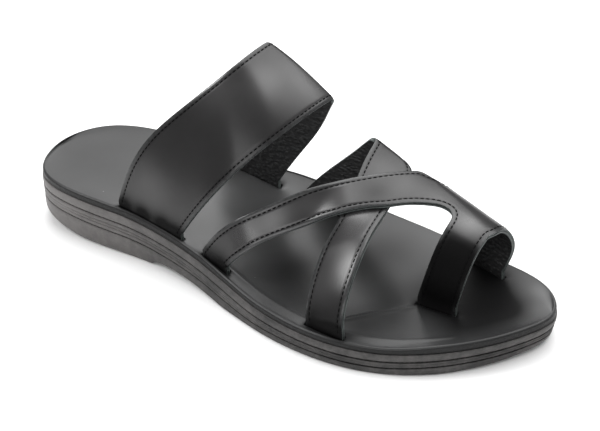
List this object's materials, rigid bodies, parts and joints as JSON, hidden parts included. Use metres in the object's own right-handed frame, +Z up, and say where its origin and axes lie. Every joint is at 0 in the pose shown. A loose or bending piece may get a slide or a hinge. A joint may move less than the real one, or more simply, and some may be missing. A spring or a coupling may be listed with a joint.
{
  "type": "toe loop sandal",
  "caption": "Slip-on leather sandal for a right foot: wide instep strap, narrow straps crossing over the ball, a loop round the big toe, and a low-heeled sole with grooved sides",
  "frame": {"origin": "middle of the sole's outline, on the floor", "axes": "+X from heel to toe, +Y to the inner side of the foot, +Z up"},
  "size_m": [0.2885, 0.103, 0.1093],
  "materials": {
    "outsole": "satin moulded rubber, warm dark grey",
    "insole": "smooth satin black leather over a board",
    "instep_strap": "smooth polished black leather",
    "crossed_straps": "smooth polished black leather"
  },
  "bodies": {
    "root": {"outsole": "outsole", "insole": "insole", "instep_strap": "instep_strap", "crossed_straps": "crossed_straps"}
  },
  "joints": []
}
